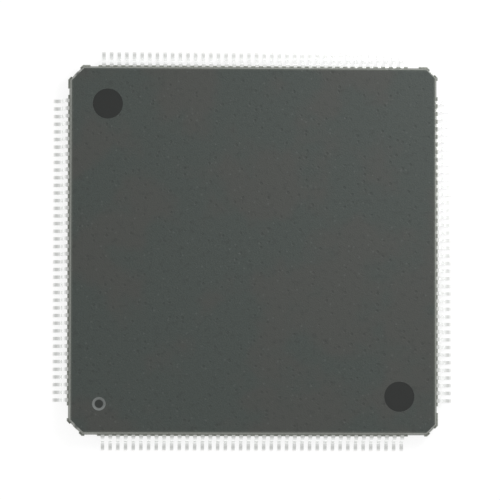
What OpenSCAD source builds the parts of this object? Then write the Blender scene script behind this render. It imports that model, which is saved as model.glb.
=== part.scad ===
// Quad flat pack: a square moulded chip package with gull-wing leads on all four sides.
// Millimetres. The origin is at the centre of the seating plane, +Z is up, and lead 1 is the
// leftmost of the front row, next to the dimple. The leads count on anticlockwise from there.

/* [Moulded body] */
// Side of the square body at its parting line
body_w = 24; // [23:0.5:30]
// Height of the moulded body alone
body_t = 1.4; // [1.3:0.05:2]
// Gap between the board and the underside of the body
standoff = 0.1; // [0.05:0.01:0.2]
// Lean of the side walls from upright, in degrees
draft = 15; // [8:1:18]
// Leg of the cut across the two corners at the left, at the parting line
corner_cut = 0.92; // [0.8:0.02:1.2]
// Leg of the cut across the two corners at the right
right_corner_cut = 0.66; // [0.6:0.02:1.2]
// Radius along the upper and lower edges
edge_r = 0.1; // [0.05:0.01:0.15]
// How far the flash between the leads stands out from the body
flash_out = 0.08; // [0.04:0.01:0.1]
// Length of the flash past the last lead of a row
flash_end = 0.25; // [0.15:0.05:0.4]
// Width of the two flash tabs on each cut corner
ear_w = 0.25; // [0.15:0.01:0.3]
// Length of the flash on the side before each corner, anticlockwise from the back right one
tab_before = [0.15, 0.45, 0.15, 0.15]; // [0.1:0.05:0.8]
// Length of the flash on the side after each corner
tab_after = [0.5, 0.55, 0.15, 0.8]; // [0.1:0.05:0.8]

/* [Marks in the mould] */
// Diameter of an ejector pin's mark
ejector_d = 1.95; // [1:0.05:2.5]
// Depth of an ejector pin's mark
ejector_depth = 0.03; // [0.02:0.01:0.06]
// Distance from the sides of the body to the middle of an ejector pin's mark
ejector_inset = 2.5; // [2:0.1:4]
// Diameter of the rim of the dimple beside lead 1
dimple_d = 0.87; // [0.7:0.01:1.2]
// Diameter of the dimple's flat floor
dimple_floor_d = 0.55; // [0.3:0.01:0.65]
// Depth of the dimple
dimple_depth = 0.12; // [0.05:0.01:0.2]
// Distance from the sides of the body to the middle of the dimple
dimple_inset = 2; // [1.7:0.01:3]

/* [Leads] */
// Leads on each side
leads_per_side = 40; // [32:4:40]
// Distance from one lead to the next
pitch = 0.5; // [0.4:0.01:0.5]
// Width of a lead outside the body
lead_w = 0.22; // [0.17:0.01:0.27]
// Thickness of the lead frame's copper strip
lead_t = 0.127; // [0.1:0.001:0.15]
// Distance from the body to the tip of a lead
lead_reach = 1; // [0.95:0.01:1.3]
// Length of the flat foot that is soldered down
foot_l = 0.42; // [0.35:0.01:0.45]
// Inner radius of the bends
bend_r = 0.1; // [0.08:0.01:0.12]
// Slope of a lead between its two bends, in degrees
riser_angle = 82; // [78:1:86]
// Length of the stump that the cut dam bar leaves on each side of a lead
dam_l = 0.1; // [0.06:0.01:0.12]
// How far that stump stands out from the side of the lead
dam_out = 0.02; // [0.01:0.01:0.03]

/* [Lead frame inside the body] */
// Straight length of a finger inside the wall of the body
root_run = 0.9; // [0.5:0.1:1.2]
// Distance from the middle of the chip to the inner tips of the fingers
tip_r = 5.6; // [5.2:0.1:6.4]
// Straight length of a finger at its inner tip
tip_run = 0.7; // [0.6:0.1:1]
// Width of a finger at its inner tip
tip_w = 0.14; // [0.1:0.01:0.15]
// Gap between a tie bar and the fingers beside it
frame_gap = 0.15; // [0.12:0.01:0.2]
// Width of a tie bar
tie_w = 0.35; // [0.3:0.01:0.4]
// How far the sheared end of a tie bar stands out of its cut corner
tie_out = 0.03; // [0.02:0.01:0.05]
// How far the die pad is sunk below the fingers
downset = 0.2; // [0.12:0.01:0.25]
// Slope of the tie bars down to the sunk pad, in degrees
downset_angle = 30; // [25:1:35]
// Length of a tie bar between the pad's corner and its first bend
tie_foot = 0.2; // [0.1:0.05:0.4]
// Inner side of the tape ring that locks the fingers, from the middle of the chip
tape_r = 8; // [7.5:0.1:9]
// Width of the tape
tape_w = 1; // [0.6:0.1:1.4]
// Thickness of the tape
tape_t = 0.06; // [0.04:0.01:0.08]

/* [Die and bond wires] */
// Side of the square silicon die
die_w = 7; // [6:0.2:8]
// Thickness of the die
die_t = 0.28; // [0.2:0.01:0.3]
// Thickness of the adhesive under the die
attach_t = 0.03; // [0.02:0.01:0.05]
// How far the adhesive squeezes out past the die
attach_out = 0.1; // [0.05:0.01:0.2]
// Border of the die pad round the die
pad_border = 0.8; // [0.4:0.1:1]
// Distance from the edge of the die to its bond pads
bond_inset = 0.12; // [0.1:0.01:0.2]
// Distance from the corner of the die to its first bond pad
bond_corner = 0.4; // [0.3:0.05:0.6]
// Diameter of a bond wire
wire_d = 0.03; // [0.02:0.005:0.03]
// Diameter of the ball that starts a wire on the die
ball_d = 0.07; // [0.05:0.005:0.08]
// Height of that ball
ball_h = 0.02; // [0.01:0.005:0.03]
// Height of a wire's loop above the die, to the middle of the wire
loop_h = 0.18; // [0.15:0.01:0.25]
// Radius of a wire's bend, to the middle of the wire
loop_r = 0.08; // [0.06:0.01:0.1]
// Distance from a finger's tip to its wire's stitch
stitch_inset = 0.3; // [0.2:0.05:0.5]

/* [Hidden] */
SIDES = ["front", "right", "back", "left"];
BANKS_PER_SIDE = 4;
BANKS = [for (side = [0:3]) for (bank = [0:BANKS_PER_SIDE - 1]) [side, bank]];

// Levels above the board
body_top = standoff + body_t;
frame_mid = standoff + body_t / 2;
frame_top = frame_mid + lead_t / 2;
frame_under = frame_mid - lead_t / 2;
pad_mid = frame_mid - downset;
pad_top = pad_mid + lead_t / 2;
die_under = pad_top + attach_t;
die_top = die_under + die_t;

// Distances from the middle of the chip
body_r = body_w / 2;
pad_r = die_w / 2 + pad_border;
bond_r = die_w / 2 - bond_inset;
stitch_r = tip_r + stitch_inset;

// The cut corners, anticlockwise from the back right one
CUTS = [right_corner_cut, corner_cut, corner_cut, right_corner_cut];
function corner_r(corner) = (body_w - CUTS[corner]) / sqrt(2);
function corner_len(corner) = CUTS[corner] * sqrt(2);

// Places along a row, counted from its middle
last_lead = (leads_per_side - 1) / 2;
bank_leads = leads_per_side / BANKS_PER_SIDE;
row_end = last_lead * pitch + lead_w / 2;
tip_row = tip_r - tip_w / 2 - sqrt(2) * (tie_w / 2 + frame_gap);
tip_pitch = tip_row / last_lead;
bond_pitch = (die_w / 2 - bond_corner) / last_lead;

// Past the surface that a cut starts from, so that it cuts clean
spill = 0.5;
// Steps of a full circle and of a moulded edge
round_steps = 32;
edge_steps = 5;

// The name of a bank, such as leads_front_1
function bank_name(kind, b) = str(kind, "_", SIDES[b[0]], "_", b[1] + 1);

// Lead k of a side, counted from the middle of its row
function place(k) = k - last_lead;

// Points round a circle from one angle to another
function arc(centre, r, from, to, steps) =
    [for (n = [0:steps]) let (a = from + (to - from) * n / steps) centre + r * [cos(a), sin(a)]];

// How a strip with two opposite bends gets from one level to another: the straight length
// between its bends, and the whole distance that it covers meanwhile
function slope_len(rise, angle, r) = (rise - 2 * r * (1 - cos(angle))) / sin(angle);
function slope_run(rise, angle, r) = 2 * r * sin(angle) + slope_len(rise, angle, r) * cos(angle);

// Turns a side's own frame, where +X points out of the body, to the side's place
module on_side(side) rotate(90 * (side - 1)) children();

// ---- Moulded body ----

// Section across the body between two opposite walls: both halves lean in from the edge of the
// lead frame, which the mould closes on
module mould_section(half) {
    upper_in = (body_top - frame_top) * tan(draft);
    lower_in = (frame_under - standoff) * tan(draft);
    tangent = edge_r * tan((90 - draft) / 2);
    upper = arc([half - upper_in - tangent, body_top - edge_r], edge_r, draft, 90, edge_steps);
    lower = arc([half - lower_in - tangent, standoff + edge_r], edge_r, -90, -draft, edge_steps);
    right = concat(lower, [[half, frame_under], [half, frame_top]], upper);
    left = [for (n = [len(right) - 1:-1:0]) [-right[n][0], right[n][1]]];
    polygon(concat(right, left));
}

module mould_slab(half) rotate([90, 0, 0]) linear_extrude(2 * body_w, center = true) mould_section(half);

// A slab across two opposite corners, whose middle is off the chip's if their cuts differ
module diagonal_slab(corner) {
    near = corner_r(corner);
    far = corner_r(corner + 2);
    rotate(45 + 90 * corner) translate([(near - far) / 2, 0, 0]) mould_slab((near + far) / 2);
}

// Two slabs cross to make the square, and two more on the diagonals cut its corners
module moulded_block() {
    intersection() {
        mould_slab(body_r);
        rotate(90) mould_slab(body_r);
        diagonal_slab(0);
        diagonal_slab(1);
    }
}

// How far the flash reaches between two opposite corners
module diagonal_reach(corner) {
    far = corner_r(corner + 2) + flash_out;
    rotate(45 + 90 * corner) translate([-far, -body_w])
        square([far + corner_r(corner) + flash_out, 2 * body_w]);
}

// Flash on one side: along the row of leads, and round the end of the cut corner at each end
module side_flash(side) {
    next = (side + 3) % 4;
    last = (side + 2) % 4;
    next_at = body_r - CUTS[next];
    last_at = body_r - CUTS[last];
    strips = [
        [-row_end - flash_end, row_end + flash_end],
        [next_at - tab_before[next], next_at + flash_out],
        [-last_at - flash_out, -last_at + tab_after[last]]
    ];
    for (s = strips) translate([body_r - spill, s[0]]) square([2 * spill, s[1] - s[0]]);
}

// Flash on a cut corner: a tab at each end of it
module corner_flash(corner) {
    for (end = [-1, 1])
        translate([corner_r(corner) - spill, end * (corner_len(corner) - ear_w) / 2 - ear_w / 2])
            square([2 * spill, ear_w]);
}

// Resin that ran out between the leads as far as the dam bar, and at the cut corners
module flash() {
    translate([0, 0, frame_under]) linear_extrude(lead_t) intersection() {
        square(2 * (body_r + flash_out), center = true);
        diagonal_reach(0);
        diagonal_reach(1);
        union() {
            for (side = [0:3]) on_side(side) side_flash(side);
            for (corner = [0:3]) rotate(45 + 90 * corner) corner_flash(corner);
        }
    }
}

// An ejector pin leaves a shallow flat disc
module ejector_cut() translate([0, 0, -ejector_depth]) cylinder(d = ejector_d, h = spill, $fn = round_steps);

// The dimple that marks lead 1 has a sloping wall and a flat floor
module dimple_cut() {
    rotate_extrude($fn = round_steps) polygon([
        [0, -dimple_depth],
        [dimple_floor_d / 2, -dimple_depth],
        [dimple_d / 2, 0],
        [dimple_d / 2, spill],
        [0, spill]
    ]);
}

module mould_marks() {
    at = body_r - ejector_inset;
    dimple_at = body_r - dimple_inset;
    for (end = [-1, 1]) translate([end * at, -end * at, body_top]) ejector_cut();
    for (x = [-1, 1]) for (y = [-1, 1]) translate([x * at, y * at, standoff]) mirror([0, 0, 1]) ejector_cut();
    translate([-dimple_at, -dimple_at, body_top]) dimple_cut();
}

// The resin sets round the flat fingers, and between the leads up to the stumps of the dam bar
module finger_slots() {
    translate([0, 0, frame_under]) linear_extrude(lead_t)
        for (side = [0:3]) on_side(side) for (k = [0:leads_per_side - 1]) lead_outline(k);
}

module mould_body() {
    color("#4d524e") difference() {
        union() {
            moulded_block();
            flash();
        }
        mould_marks();
        die_pad();
        die_attach();
        silicon_die();
        lead_lock_tape();
        finger_slots();
        for (b = BANKS) wire_bank(b);
    }
}

// ---- Lead frame ----

// A formed strip seen edge on. The path is a straight run, a turn in degrees, a run, and so on.
module strip(path, n = 0) {
    run = path[n];
    translate([0, -lead_t / 2]) square([run, lead_t]);
    if (n + 1 < len(path)) {
        turn = path[n + 1];
        side = sign(turn);
        middle_r = bend_r + lead_t / 2;
        reach = 2 * middle_r;
        translate([run, side * middle_r]) {
            intersection() {
                difference() {
                    circle(bend_r + lead_t, $fn = round_steps);
                    circle(bend_r, $fn = round_steps);
                }
                polygon([[0, 0], [0, -side * reach], [reach * sin(abs(turn)), -side * reach * cos(turn)]]);
            }
            rotate(turn) translate([0, -side * middle_r]) strip(path, n + 2);
        }
    }
}

// The die pad and its four tie bars are one stamping, sunk below the fingers by two bends in
// each bar. Outside the pad the bars run on to the cut corners, where they are sheared off.
module die_pad() {
    middle_r = bend_r + lead_t / 2;
    start = pad_r * sqrt(2) + tie_foot;
    slope = slope_len(downset, downset_angle, middle_r);
    level_at = start + slope_run(downset, downset_angle, middle_r);
    color("#c8a070") translate([0, 0, pad_mid]) {
        translate([0, 0, -lead_t / 2]) linear_extrude(lead_t) square(2 * pad_r, center = true);
        for (corner = [0:3]) {
            rest = corner_r(corner) + tie_out - level_at;
            rotate([90, 0, 45 + 90 * corner]) linear_extrude(tie_w, center = true)
                strip([start, downset_angle, slope, -downset_angle, rest]);
        }
    }
}

// Outline of lead k before it is formed: a finger that fans in from the wall to its narrow tip,
// and outside the wall a straight lead with the stumps of the dam bar
module lead_outline(k) {
    outer = place(k) * pitch;
    inner = place(k) * tip_pitch;
    dam = body_r + flash_out;
    stations = [
        [tip_r, inner, tip_w / 2],
        [tip_r + tip_run, inner, tip_w / 2],
        [body_r - root_run, outer, lead_w / 2],
        [dam, outer, lead_w / 2],
        [dam, outer, lead_w / 2 + dam_out],
        [dam + dam_l, outer, lead_w / 2 + dam_out],
        [dam + dam_l, outer, lead_w / 2],
        [body_r + lead_reach + spill, outer, lead_w / 2]
    ];
    one_side = [for (s = stations) [s[0], s[1] - s[2]]];
    other_side = [for (n = [len(stations) - 1:-1:0]) [stations[n][0], stations[n][1] + stations[n][2]]];
    polygon(concat(one_side, other_side));
}

// Section along a lead: flat from its inner tip to the shoulder, then the gull wing's two bends
module lead_section() {
    middle_r = bend_r + lead_t / 2;
    drop = frame_mid - lead_t / 2;
    shoulder = lead_reach - foot_l - slope_run(drop, riser_angle, middle_r);
    flat = spill + body_r + shoulder - tip_r;
    translate([tip_r - spill, 0])
        strip([flat, -riser_angle, slope_len(drop, riser_angle, middle_r), riser_angle, foot_l]);
}

// A lead is the blanked outline given the formed section
module lead(k) {
    translate([0, 0, frame_mid]) intersection() {
        rotate([90, 0, 0]) linear_extrude(body_w, center = true) lead_section();
        translate([0, 0, -frame_mid - spill]) linear_extrude(frame_mid + 2 * spill) lead_outline(k);
    }
}

module lead_bank(b) {
    first = b[1] * bank_leads;
    color("#d9dcdc") on_side(b[0]) for (k = [first:first + bank_leads - 1]) lead(k);
}

// A ring of tape stuck across the tops of the fingers keeps them in place while they are wired
module lead_lock_tape() {
    color("#b8742a") translate([0, 0, frame_top]) linear_extrude(tape_t) difference() {
        square(2 * (tape_r + tape_w), center = true);
        square(2 * tape_r, center = true);
    }
}

// ---- Die and bond wires ----

module die_attach() {
    color("#9a9c98") translate([0, 0, pad_top]) linear_extrude(attach_t)
        square(die_w + 2 * attach_out, center = true);
}

module silicon_die() {
    color("#5a6270") translate([0, 0, die_under]) linear_extrude(die_t) square(die_w, center = true);
}

// Bond wire k lies in the upright plane through its two ends: a ball on the die, a neck straight
// up, one bend over, and a straight descent that touches the bend and ends on the finger
module bond_wire(k) {
    from = [bond_r, place(k) * bond_pitch];
    to = [stitch_r, place(k) * tip_pitch];
    neck = loop_h - loop_r;
    ahead = norm(to - from) - loop_r;
    below = die_top + neck - frame_top;
    direct = norm([ahead, below]);
    descent = atan2(below, ahead) + asin(loop_r / direct);
    run = sqrt(direct ^ 2 - loop_r ^ 2) + wire_d / tan(descent);
    translate([from[0], from[1], die_top]) rotate(atan2(to[1] - from[1], to[0] - from[0])) {
        cylinder(d = ball_d, h = ball_h, $fn = round_steps);
        cylinder(d = wire_d, h = neck, $fn = round_steps);
        translate([loop_r, 0, neck]) rotate([90, 0, 0]) {
            rotate(90 - descent) rotate_extrude(angle = 90 + descent, $fn = round_steps)
                translate([loop_r, 0]) circle(d = wire_d, $fn = round_steps);
            rotate(-descent) translate([0, loop_r, 0]) rotate([0, 90, 0])
                cylinder(d = wire_d, h = run, $fn = round_steps);
        }
    }
}

// The wires of a bank, pressed flat where they land on the fingers
module wire_bank(b) {
    first = b[1] * bank_leads;
    color("#d8a62c") on_side(b[0]) intersection() {
        for (k = [first:first + bank_leads - 1]) bond_wire(k);
        translate([0, -body_r, frame_top]) cube([body_r, body_w, body_t]);
    }
}

// ---- Nodes ----

mould_body();
die_pad();
die_attach();
silicon_die();
lead_lock_tape();
for (b = BANKS) lead_bank(b);
for (b = BANKS) wire_bank(b);
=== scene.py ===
from math import pi, radians, sqrt

import bpy
import numpy as np
from mathutils import Matrix, Vector

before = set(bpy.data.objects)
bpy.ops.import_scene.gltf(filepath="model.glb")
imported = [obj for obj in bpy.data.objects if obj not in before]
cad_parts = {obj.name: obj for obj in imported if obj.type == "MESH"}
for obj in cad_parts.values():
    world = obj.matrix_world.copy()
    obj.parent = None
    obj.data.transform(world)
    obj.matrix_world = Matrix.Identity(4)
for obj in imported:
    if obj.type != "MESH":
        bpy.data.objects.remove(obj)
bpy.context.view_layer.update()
mm = 0.001

# ---- Camera ----
# It hangs over the chip and looks almost straight down, so that the top face is seen square on
# and the walls and leads of all four sides show as narrow borders.

camera_place = Vector((-11.07, -12.07, 237.13)) * mm
camera_aim = Vector((-0.16, 0.084, 0)) * mm
camera_roll = radians(0.11)

lens = bpy.data.cameras.new("camera")
lens.lens = 261.7
lens.sensor_width = 36
lens.clip_start = 0.01
lens.clip_end = 20

backward = (camera_place - camera_aim).normalized()
rightward = Vector((0, 1, 0)).cross(backward).normalized()
upward = backward.cross(rightward)
camera = bpy.data.objects.new("camera", lens)
bpy.context.scene.collection.objects.link(camera)
camera.matrix_world = (
    Matrix.Translation(camera_place)
    @ Matrix((rightward, upward, backward)).transposed().to_4x4()
    @ Matrix.Rotation(camera_roll, 4, "Z")
)
bpy.context.scene.camera = camera
bpy.context.scene.view_settings.view_transform = "Standard"

# ---- Floor ----
# A sheet of white board, large enough to fill every view. It shines a little by itself to the
# eye and in reflections, so that it stays white, and still takes the soft shadow of the chip.


def node(tree, kind, inputs=None, **settings):
    """Adds a shader node with its settings. An input is given a value, or is joined to an output."""
    made = tree.nodes.new("ShaderNode" + kind)
    for key, value in settings.items():
        setattr(made, key, value)
    for key, value in (inputs or {}).items():
        if isinstance(value, bpy.types.NodeSocket):
            tree.links.new(value, made.inputs[key])
        else:
            made.inputs[key].default_value = value
    return made


def maths(tree, operation, *values):
    """One step of arithmetic on values or outputs."""
    return node(tree, "Math", dict(enumerate(values)), operation=operation).outputs[0]


def step(tree, value, low, high):
    """0 up to low, 1 from high on, and a smooth rise between them."""
    inputs = {"Value": value, "From Min": low, "From Max": high}
    return node(tree, "MapRange", inputs, interpolation_type="SMOOTHSTEP").outputs[0]


def blank_material(name):
    """A material with nothing in it but its output, as (material, tree, output)."""
    material = bpy.data.materials.new(name)
    material.use_nodes = True
    material.node_tree.nodes.clear()
    return material, material.node_tree, node(material.node_tree, "OutputMaterial")


def surface(name, points):
    """A sheet through a grid of points: the point in row i and column j is joined to its neighbours
    in the next row and the next column by one four-sided face."""
    rows, columns = points.shape[:2]
    index = np.arange(rows * columns).reshape(rows, columns)
    corners = (index[:-1, :-1], index[:-1, 1:], index[1:, 1:], index[1:, :-1])
    faces = np.stack(corners, axis=-1).reshape(-1, 4)
    mesh = bpy.data.meshes.new(name)
    mesh.from_pydata(points.reshape(-1, 3).tolist(), [], faces.tolist())
    made = bpy.data.objects.new(name, mesh)
    bpy.context.scene.collection.objects.link(made)
    return made


floor_half = 1.5
floor_colour = (0.84, 0.845, 0.84, 1)
floor_own_light = 0.8

across = np.linspace(-floor_half, floor_half, 2)
floor = surface("floor", np.dstack(np.meshgrid(across, across) + [np.zeros((2, 2))]))
board, tree, output = blank_material("white_board")
ray = node(tree, "LightPath").outputs
seen = maths(tree, "MAXIMUM", ray["Is Camera Ray"], ray["Is Glossy Ray"])
seen = maths(tree, "MAXIMUM", seen, ray["Is Transmission Ray"])
share = maths(tree, "MULTIPLY", seen, floor_own_light)
lit = node(tree, "BsdfPrincipled", {"Base Color": floor_colour, "Roughness": 0.9, "Specular IOR Level": 0.1})
shine = node(tree, "Emission", {"Color": (1, 1, 1, 1), "Strength": 1.06})
both = node(tree, "MixShader", {0: share, 1: lit.outputs[0], 2: shine.outputs[0]})
tree.links.new(both.outputs[0], output.inputs["Surface"])
floor.data.materials.append(board)

# ---- Light ----
# A pale tent all round, brighter near the floor than overhead, and two soft boxes: one close by
# at the back right, which brightens that corner of the top face, and one farther off at the left.

tent_low = 1.15
tent_high = 0.71

world = bpy.data.worlds.new("tent")
world.use_nodes = True
world.node_tree.nodes.clear()
tree = world.node_tree
height = node(tree, "SeparateXYZ", {0: node(tree, "TexCoord").outputs["Generated"]}).outputs["Z"]
inputs = {"Value": height, "To Min": tent_low, "To Max": tent_high}
strength = node(tree, "MapRange", inputs).outputs[0]
tent = node(tree, "Background", {"Color": (1, 1, 1, 1), "Strength": strength})
backdrop = node(tree, "Background", {"Color": (1, 1, 1, 1), "Strength": 1.0})
ray = node(tree, "LightPath").outputs
both = node(tree, "MixShader", {0: ray["Is Camera Ray"], 1: tent.outputs[0], 2: backdrop.outputs[0]})
tree.links.new(both.outputs[0], node(tree, "OutputWorld").inputs["Surface"])
bpy.context.scene.world = world


def soft_box(name, place, size, level):
    """A square area lamp that faces the chip. A level of 1 alone would show a colour that faces it
    as it is written: that takes pi squared times the distance squared, in watts."""
    lamp = bpy.data.lights.new(name, "AREA")
    lamp.size = size
    lamp.energy = level * pi**2 * place.length_squared
    made = bpy.data.objects.new(name, lamp)
    bpy.context.scene.collection.objects.link(made)
    made.matrix_world = Matrix.Translation(place) @ place.to_track_quat("Z", "Y").to_matrix().to_4x4()
    made.visible_camera = False
    return made


soft_box("right_box", Vector((0.035, 0.030, 0.060)), 0.02, 0.40)
soft_box("left_box", Vector((-0.22, 0.16, 0.20)), 0.16, 0.06)

# ---- Moulded body ----
# One block of black epoxy filled with ground silica, pressed round the lead frame in a spark-
# eroded mould, which leaves it matt all over but for the discs that the ejector pins pushed on.


def mix(tree, factor, a, b):
    """Colour a where the factor is 0, colour b where it is 1."""
    return node(tree, "Mix", {0: factor, 6: a, 7: b}, data_type="RGBA").outputs[2]


def blank_group(name, inputs, outputs):
    """An empty node group with named number inputs after Place, a point in millimetres."""
    tree = bpy.data.node_groups.new(name, "ShaderNodeTree")
    tree.interface.new_socket("Place", in_out="INPUT", socket_type="NodeSocketVector")
    for socket in inputs:
        tree.interface.new_socket(socket, in_out="INPUT", socket_type="NodeSocketFloat")
    for socket in outputs:
        tree.interface.new_socket(socket, in_out="OUTPUT", socket_type="NodeSocketFloat")
    return tree, tree.nodes.new("NodeGroupInput").outputs, tree.nodes.new("NodeGroupOutput").inputs


def use(tree, group, place, inputs=None):
    """Places a node group in a material and gives its outputs."""
    made = node(tree, "Group", node_tree=group)
    tree.links.new(place, made.inputs["Place"])
    for key, value in (inputs or {}).items():
        made.inputs[key].default_value = value
    return made.outputs


def millimetres(tree):
    """The point on the surface, in the chip's own frame, in millimetres."""
    place = node(tree, "TexCoord").outputs["Object"]
    return node(tree, "VectorMath", {0: place, "Scale": 1 / mm}, operation="SCALE").outputs[0]


# Grain: a fine noise of the given size, and a cloudy one forty times as large
grain, given, result = blank_group("grain", ["Size"], ["Fine", "Cloud"])
fine_scale = maths(grain, "DIVIDE", 1.0, given["Size"])
cloud_scale = maths(grain, "DIVIDE", fine_scale, 40.0)
inputs = {"Vector": given["Place"], "Scale": fine_scale, "Detail": 3.0, "Roughness": 0.6}
fine = node(grain, "TexNoise", inputs)
inputs = {"Vector": given["Place"], "Scale": cloud_scale, "Detail": 4.0}
cloud = node(grain, "TexNoise", inputs)
grain.links.new(fine.outputs[0], result["Fine"])
grain.links.new(cloud.outputs[0], result["Cloud"])

# Specks: round spots about one spacing apart, of which only the given share is there
specks, given, result = blank_group("specks", ["Spacing", "Radius", "Share"], ["Mask"])
scale = maths(specks, "DIVIDE", 1.0, given["Spacing"])
cells = node(specks, "TexVoronoi", {"Vector": given["Place"], "Scale": scale})
distance = maths(specks, "MULTIPLY", cells.outputs["Distance"], given["Spacing"])
inner = maths(specks, "MULTIPLY", given["Radius"], 0.4)
outside = step(specks, distance, inner, given["Radius"])
lot = node(specks, "SeparateColor", {0: cells.outputs["Color"]}).outputs[0]
chosen = maths(specks, "LESS_THAN", lot, given["Share"])
spot = maths(specks, "SUBTRACT", 1.0, outside)
specks.links.new(maths(specks, "MULTIPLY", spot, chosen), result["Mask"])

ejector_at = 9.5
ejector_r = 0.975
dimple_at = 10.0
dimple_r = 0.435
dimple_floor_r = 0.275
frame_mid = 0.8
frame_half = 0.0635
wall_half = 0.6
face_half = 0.7
wall_from = 11.5
rim_from = 11.70
rim_to = 11.86
flash_pale_from = 11.93
flash_pale_to = 12.08
compound_dark = (0.0215, 0.030, 0.0255, 1)
compound_pale = (0.034, 0.0435, 0.0385, 1)
warm_tone = (0.037, 0.036, 0.0315, 1)
pit_colour = (0.010, 0.013, 0.011, 1)
silica_colour = (0.10, 0.11, 0.105, 1)
polished_and_painted_shade_colour = (0.002, 0.0035, 0.0025, 1)
dimple_colour = (0.012, 0.0155, 0.0130, 1)
dimple_ring_highlight_colour = (0.14, 0.15, 0.145, 1)
flash_resin_and_painted_light = (0.18, 0.19, 0.165, 1)
flash_edge_resin_and_painted_light = (0.60, 0.62, 0.57, 1)
wall_reflection_colour = (0.15, 0.16, 0.135, 1)

# How much each tone covers what is under it
warm_share = 0.6
blotch_share = 0.35
pit_share = 0.35
silica_share = 0.22
rim_highlight_share = 0.35
wall_reflection_share = 0.8
flash_share = 0.9
polish_share = 0.97

matt_rough = 0.5
rough_spread = 0.15
smooth_by = 0.22
flash_raggedness = 0.3
compound_relief = 0.012 * mm


def squared(tree, value, offset):
    """The square of a value's distance from an offset."""
    return maths(tree, "POWER", maths(tree, "SUBTRACT", value, offset), 2.0)


def inside(tree, distance, radius, soft=0.01):
    """1 within the radius and 0 beyond it."""
    return maths(tree, "SUBTRACT", 1.0, step(tree, distance, radius - soft, radius + soft))


compound, tree, output = blank_material("mould_compound")
place = millimetres(tree)
texture = use(tree, grain, place, {"Size": 0.10})
blotches = use(tree, grain, place, {"Size": 0.38})
pits = use(tree, specks, place, {"Spacing": 0.42, "Radius": 0.13, "Share": 0.35})["Mask"]
silica = use(tree, specks, place, {"Spacing": 0.31, "Radius": 0.09, "Share": 0.20})["Mask"]

# Where the finish differs: ejector marks (two on top, four underneath), dimple, walls, the rim of the
# two faces, and the flash, which is ragged at its edge. Painted light: a painted reflection of the floor
# on the walls, a painted highlight along the rim, and a pale flash, partly its own resin and partly
# painted light that lifts it out of the shade between the leads
x, y, z = node(tree, "SeparateXYZ", {0: place}).outputs
along_x = maths(tree, "ABSOLUTE", x)
along_y = maths(tree, "ABSOLUTE", y)
under = maths(tree, "LESS_THAN", z, frame_mid)
crossed = maths(tree, "LESS_THAN", maths(tree, "MULTIPLY", x, y), 0.0)
spread = maths(tree, "ADD", squared(tree, along_x, ejector_at), squared(tree, along_y, ejector_at))
in_mark = inside(tree, maths(tree, "SQRT", spread), ejector_r)
polished = maths(tree, "MULTIPLY", in_mark, maths(tree, "MAXIMUM", under, crossed))
spread = maths(tree, "ADD", squared(tree, x, -dimple_at), squared(tree, y, -dimple_at))
from_dimple = maths(tree, "ADD", maths(tree, "SQRT", spread), under)
in_dimple = inside(tree, from_dimple, dimple_r)
on_floor = inside(tree, from_dimple, dimple_floor_r, 0.03)
level = maths(tree, "ABSOLUTE", maths(tree, "SUBTRACT", z, frame_mid))
on_flash = inside(tree, level, frame_half, 0.004)
outer = step(tree, maths(tree, "MAXIMUM", along_x, along_y), wall_from, wall_from + 0.1)
off_face = maths(tree, "SUBTRACT", 1.0, step(tree, level, wall_half, face_half - 0.01))
on_wall = maths(tree, "MULTIPLY", outer, off_face)
out = maths(tree, "MAXIMUM", along_x, along_y)
rim_highlight = maths(tree, "MULTIPLY", step(tree, out, rim_from, rim_to), rim_highlight_share)
waver = maths(tree, "MULTIPLY", maths(tree, "SUBTRACT", texture["Fine"], 0.5), flash_raggedness)
ragged = maths(tree, "ADD", out, waver)

colour = mix(tree, step(tree, texture["Fine"], 0.28, 0.72), compound_dark, compound_pale)
warm = maths(tree, "MULTIPLY", step(tree, texture["Cloud"], 0.46, 0.62), warm_share)
colour = mix(tree, warm, colour, warm_tone)
dark = maths(tree, "MULTIPLY", step(tree, blotches["Fine"], 0.52, 0.72), blotch_share)
dark = maths(tree, "MAXIMUM", dark, maths(tree, "MULTIPLY", pits, pit_share))
colour = mix(tree, dark, colour, pit_colour)
colour = mix(tree, maths(tree, "MULTIPLY", silica, silica_share), colour, silica_colour)
# Painted reflection on the walls and painted highlight along the rim, both in one pale colour
pale = maths(tree, "MAXIMUM", maths(tree, "MULTIPLY", on_wall, wall_reflection_share), rim_highlight)
colour = mix(tree, pale, colour, wall_reflection_colour)
# Painted light: the flash is coloured pale, partly its own resin and partly painted light that lifts it out
# of the shade between the leads; palest in a ragged band at its outer edge
resin_and_painted_light = mix(tree, step(tree, ragged, flash_pale_from, flash_pale_to), flash_resin_and_painted_light, flash_edge_resin_and_painted_light)
colour = mix(tree, maths(tree, "MULTIPLY", on_flash, flash_share), colour, resin_and_painted_light)
# Painted highlight: the sloping wall of the dimple is coloured pale, so its ring reads light all round
colour = mix(tree, in_dimple, colour, dimple_ring_highlight_colour)
colour = mix(tree, on_floor, colour, dimple_colour)
# Painted shade: the ejector discs are near black, partly from their own polish and partly as a painted shade
# for the dim overhead their smooth faces mirror
colour = mix(tree, maths(tree, "MULTIPLY", polished, polish_share), colour, polished_and_painted_shade_colour)
rough = maths(tree, "ADD", matt_rough, maths(tree, "MULTIPLY", texture["Fine"], rough_spread))
smoother = maths(tree, "MAXIMUM", maths(tree, "MAXIMUM", polished, in_dimple), on_wall)
rough = maths(tree, "SUBTRACT", rough, maths(tree, "MULTIPLY", smoother, smooth_by))
relief = maths(tree, "SUBTRACT", maths(tree, "ADD", texture["Fine"], blotches["Fine"]), pits)
relief = maths(tree, "MULTIPLY", relief, maths(tree, "SUBTRACT", 1.0, polished))
bumps = node(tree, "Bump", {"Strength": 1.0, "Distance": compound_relief, "Height": relief}).outputs[0]
epoxy = node(tree, "BsdfPrincipled", {"Base Color": colour, "Roughness": rough, "Normal": bumps})
tree.links.new(epoxy.outputs[0], output.inputs["Surface"])


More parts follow.
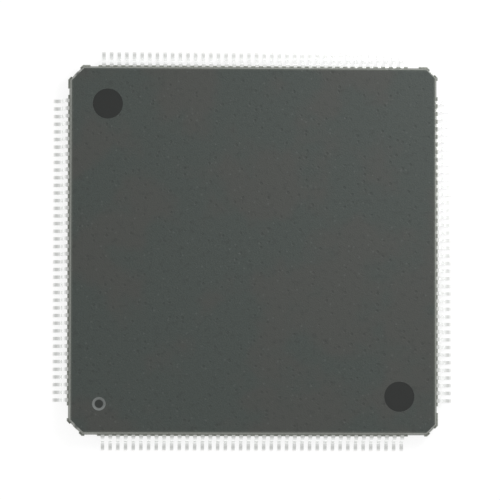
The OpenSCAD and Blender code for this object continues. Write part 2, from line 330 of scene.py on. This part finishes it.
def dress(names, material):
    """Gives the CAD nodes with these names the material in place of their plain one."""
    for name in names:
        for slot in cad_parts[name].material_slots:
            slot.material = material


dress(["mould_body"], compound)

# ---- Leads ----
# Each lead is blanked from copper strip, tin plated after moulding, then cut off and formed
# into a gull wing, so its toe shows the bare copper. The clamp of the forming tool dulled its
# shoulder. The foot is painted grey, a painted shade for the dim overhead its flat top mirrors.

rows = ["front", "right", "back", "left"]
banks = [f"{row}_{number}" for row in rows for number in range(1, 5)]
toe_at = 12.9985
shoulder_to = 12.17
foot_from = 12.56
foot_shade_full = 12.80
foot_shade_to = 12.91
tin_pale = (0.94, 0.95, 0.94, 1)
tin_dull = (0.66, 0.67, 0.65, 1)
copper_cut = (0.62, 0.36, 0.24, 1)
foot_shade_share = 0.75
clamped_share = 0.9
patchy_share = 0.3
tin_relief = 0.0015 * mm

# Rolled: fine lines that run along the strip, out from the middle of the chip on every side
rolled, given, result = blank_group("rolled", ["Width", "Length"], ["Lines", "Out"])
x, y, z = node(rolled, "SeparateXYZ", {0: given["Place"]}).outputs
along_x = maths(rolled, "ABSOLUTE", x)
along_y = maths(rolled, "ABSOLUTE", y)
sideways = maths(rolled, "GREATER_THAN", along_x, along_y)
upright = maths(rolled, "SUBTRACT", 1.0, sideways)
out = maths(rolled, "MAXIMUM", along_x, along_y)
aside = maths(rolled, "ADD", maths(rolled, "MULTIPLY", sideways, y), maths(rolled, "MULTIPLY", upright, x))
lengthwise = maths(rolled, "DIVIDE", maths(rolled, "ADD", out, z), given["Length"])
crosswise = maths(rolled, "DIVIDE", aside, given["Width"])
lines_at = node(rolled, "CombineXYZ", {0: lengthwise, 1: crosswise, 2: z})
lines = node(rolled, "TexNoise", {"Vector": lines_at.outputs[0], "Scale": 1.0, "Detail": 2.0})
rolled.links.new(lines.outputs[0], result["Lines"])
rolled.links.new(out, result["Out"])

tin, tree, output = blank_material("tin_plated_lead")
place = millimetres(tree)
texture = use(tree, grain, place, {"Size": 0.03})
drawn = use(tree, rolled, place, {"Width": 0.02, "Length": 0.6})
cut = step(tree, drawn["Out"], toe_at, toe_at + 0.001)
on_foot = step(tree, drawn["Out"], foot_from, foot_shade_full)
# Painted shade: the foot, from its heel to near the toe, is dulled towards tin_dull
painted_foot_shade = maths(tree, "MULTIPLY", on_foot, inside(tree, drawn["Out"], foot_shade_to, 0.06))
painted_foot_shade = maths(tree, "MULTIPLY", painted_foot_shade, foot_shade_share)
clamped = maths(tree, "MULTIPLY", inside(tree, drawn["Out"], shoulder_to, 0.05), clamped_share)
patchy = maths(tree, "MULTIPLY", step(tree, texture["Cloud"], 0.35, 0.75), patchy_share)
# Dull tin from real patches and the clamp mark, together with the painted shade on the foot
dull = maths(tree, "MAXIMUM", maths(tree, "MAXIMUM", painted_foot_shade, clamped), patchy)
colour = mix(tree, dull, tin_pale, tin_dull)
colour = mix(tree, cut, colour, copper_cut)
rough = maths(tree, "ADD", 0.22, maths(tree, "MULTIPLY", texture["Fine"], 0.2))
relief = maths(tree, "ADD", drawn["Lines"], texture["Fine"])
bumps = node(tree, "Bump", {"Strength": 1.0, "Distance": tin_relief, "Height": relief}).outputs[0]
inputs = {"Base Color": colour, "Metallic": 1.0, "Roughness": rough, "Normal": bumps}
metal = node(tree, "BsdfPrincipled", inputs)
tree.links.new(metal.outputs[0], output.inputs["Surface"])
dress([f"leads_{bank}" for bank in banks], tin)

# ---- Die pad and tie bars ----
# One stamping of the same copper strip, sunk below the fingers. Only the sheared ends of its four
# tie bars show, at the cut corners, and those took the tin plating too.

copper_pale = (0.80, 0.50, 0.34, 1)
copper_dull = (0.58, 0.33, 0.22, 1)
plated_from = 16.2


def metal_strip(name, pale, dull, plate=None):
    """Rolled strip or drawn wire: cloudy between two tones, with fine lines along it. Where there is
    a plating, it covers what reaches past the walls of the body at the corners."""
    material, tree, output = blank_material(name)
    place = millimetres(tree)
    texture = use(tree, grain, place, {"Size": 0.05})
    drawn = use(tree, rolled, place, {"Width": 0.03, "Length": 1.5})
    colour = mix(tree, step(tree, texture["Cloud"], 0.3, 0.75), pale, dull)
    if plate:
        x, y, _ = node(tree, "SeparateXYZ", {0: place}).outputs
        total = maths(tree, "ADD", maths(tree, "ABSOLUTE", x), maths(tree, "ABSOLUTE", y))
        past = step(tree, maths(tree, "MULTIPLY", total, sqrt(0.5)), plated_from, plated_from + 0.05)
        colour = mix(tree, past, colour, plate)
    rough = maths(tree, "ADD", 0.28, maths(tree, "MULTIPLY", drawn["Lines"], 0.2))
    relief = maths(tree, "ADD", drawn["Lines"], texture["Fine"])
    bumps = node(tree, "Bump", {"Strength": 1.0, "Distance": 0.002 * mm, "Height": relief}).outputs[0]
    inputs = {"Base Color": colour, "Metallic": 1.0, "Roughness": rough, "Normal": bumps}
    metal = node(tree, "BsdfPrincipled", inputs)
    tree.links.new(metal.outputs[0], output.inputs["Surface"])
    return material


dress(["die_pad"], metal_strip("frame_copper", copper_pale, copper_dull, tin_dull))

# ---- Die and adhesive ----
# A polished block of silicon on a bed of epoxy that is full of silver flakes, on the die pad.

silicon_dark = (0.055, 0.060, 0.072, 1)
silicon_pale = (0.085, 0.092, 0.110, 1)
silver_paste = (0.50, 0.50, 0.47, 1)
silver_flake = (0.86, 0.86, 0.84, 1)
silicon_ior = 3.4

silicon, tree, output = blank_material("silicon")
place = millimetres(tree)
texture = use(tree, grain, place, {"Size": 0.02})
colour = mix(tree, step(tree, texture["Cloud"], 0.3, 0.7), silicon_dark, silicon_pale)
rough = maths(tree, "ADD", 0.1, maths(tree, "MULTIPLY", texture["Fine"], 0.12))
bumps = node(tree, "Bump", {"Strength": 1.0, "Distance": 0.0005 * mm, "Height": texture["Fine"]}).outputs[0]
inputs = {"Base Color": colour, "Roughness": rough, "IOR": silicon_ior, "Normal": bumps}
block = node(tree, "BsdfPrincipled", inputs)
tree.links.new(block.outputs[0], output.inputs["Surface"])
dress(["silicon_die"], silicon)

adhesive, tree, output = blank_material("die_adhesive")
place = millimetres(tree)
texture = use(tree, grain, place, {"Size": 0.06})
flakes = use(tree, specks, place, {"Spacing": 0.03, "Radius": 0.013, "Share": 0.6})["Mask"]
colour = mix(tree, flakes, silver_paste, silver_flake)
rough = maths(tree, "ADD", 0.35, maths(tree, "MULTIPLY", texture["Fine"], 0.25))
relief = maths(tree, "ADD", texture["Fine"], flakes)
bumps = node(tree, "Bump", {"Strength": 1.0, "Distance": 0.003 * mm, "Height": relief}).outputs[0]
inputs = {"Base Color": colour, "Metallic": flakes, "Roughness": rough, "Normal": bumps}
paste = node(tree, "BsdfPrincipled", inputs)
tree.links.new(paste.outputs[0], output.inputs["Surface"])
dress(["die_attach"], adhesive)

# ---- Lead lock tape ----
# A ring of amber polyimide film with a glossy face, stuck across the fingers to hold them apart.

tape_pale = (0.42, 0.17, 0.025, 1)
tape_deep = (0.27, 0.085, 0.010, 1)

film, tree, output = blank_material("polyimide_tape")
place = millimetres(tree)
texture = use(tree, grain, place, {"Size": 0.08})
colour = mix(tree, step(tree, texture["Cloud"], 0.3, 0.7), tape_pale, tape_deep)
rough = maths(tree, "ADD", 0.2, maths(tree, "MULTIPLY", texture["Fine"], 0.2))
bumps = node(tree, "Bump", {"Strength": 1.0, "Distance": 0.002 * mm, "Height": texture["Fine"]}).outputs[0]
inputs = {"Base Color": colour, "Roughness": rough, "Normal": bumps}
inputs.update({"Coat Weight": 0.6, "Coat Roughness": 0.1})
tape = node(tree, "BsdfPrincipled", inputs)
tree.links.new(tape.outputs[0], output.inputs["Surface"])
dress(["lead_lock_tape"], film)

# ---- Bond wires ----
# Drawn gold, from a ball on the die to a stitch on the silvered tip of each finger.

gold_pale = (0.92, 0.68, 0.27, 1)
gold_deep = (0.80, 0.54, 0.19, 1)

dress([f"wires_{bank}" for bank in banks], metal_strip("gold_wire", gold_pale, gold_deep))
